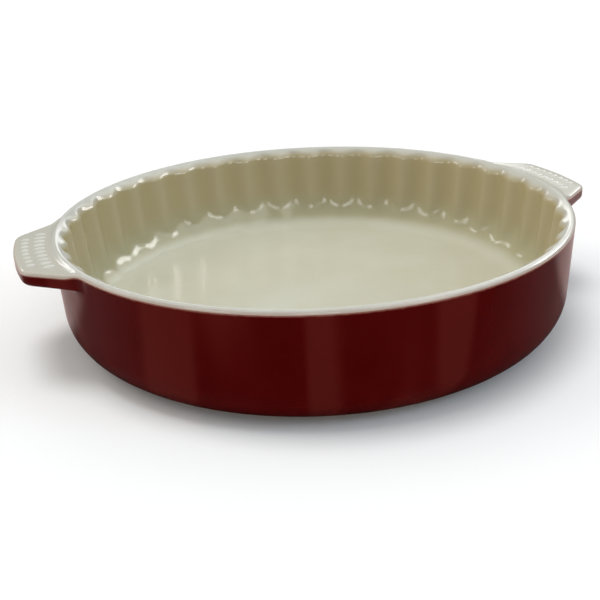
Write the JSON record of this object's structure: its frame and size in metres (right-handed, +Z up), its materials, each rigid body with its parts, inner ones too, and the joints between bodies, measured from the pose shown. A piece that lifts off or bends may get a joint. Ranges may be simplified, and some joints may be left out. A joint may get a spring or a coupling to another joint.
{
  "type": "round baking dish",
  "caption": "Round glazed stoneware baking dish with a smooth red outer wall, a cream fluted inside, a flat floor and a tab handle on each side of the rim.",
  "frame": {"origin": "centre of the foot ring's underside, on the surface the dish stands on", "axes": "+Z up through the middle of the dish, +X along the line through both handles, +Y across"},
  "size_m": [0.3182, 0.2802, 0.06],
  "materials": {
    "stoneware": "bare, matt",
    "cream_glaze": "glossy",
    "red_glaze": "glossy"
  },
  "bodies": {
    "root": {"dish_body": "stoneware", "foot_ring": "stoneware", "left_handle": "stoneware", "right_handle": "stoneware", "inside_glaze": "cream_glaze", "base_glaze": "cream_glaze", "left_handle_top_glaze": "cream_glaze", "right_handle_top_glaze": "cream_glaze", "outside_glaze": "red_glaze", "left_handle_under_glaze": "red_glaze", "right_handle_under_glaze": "red_glaze"}
  },
  "joints": []
}
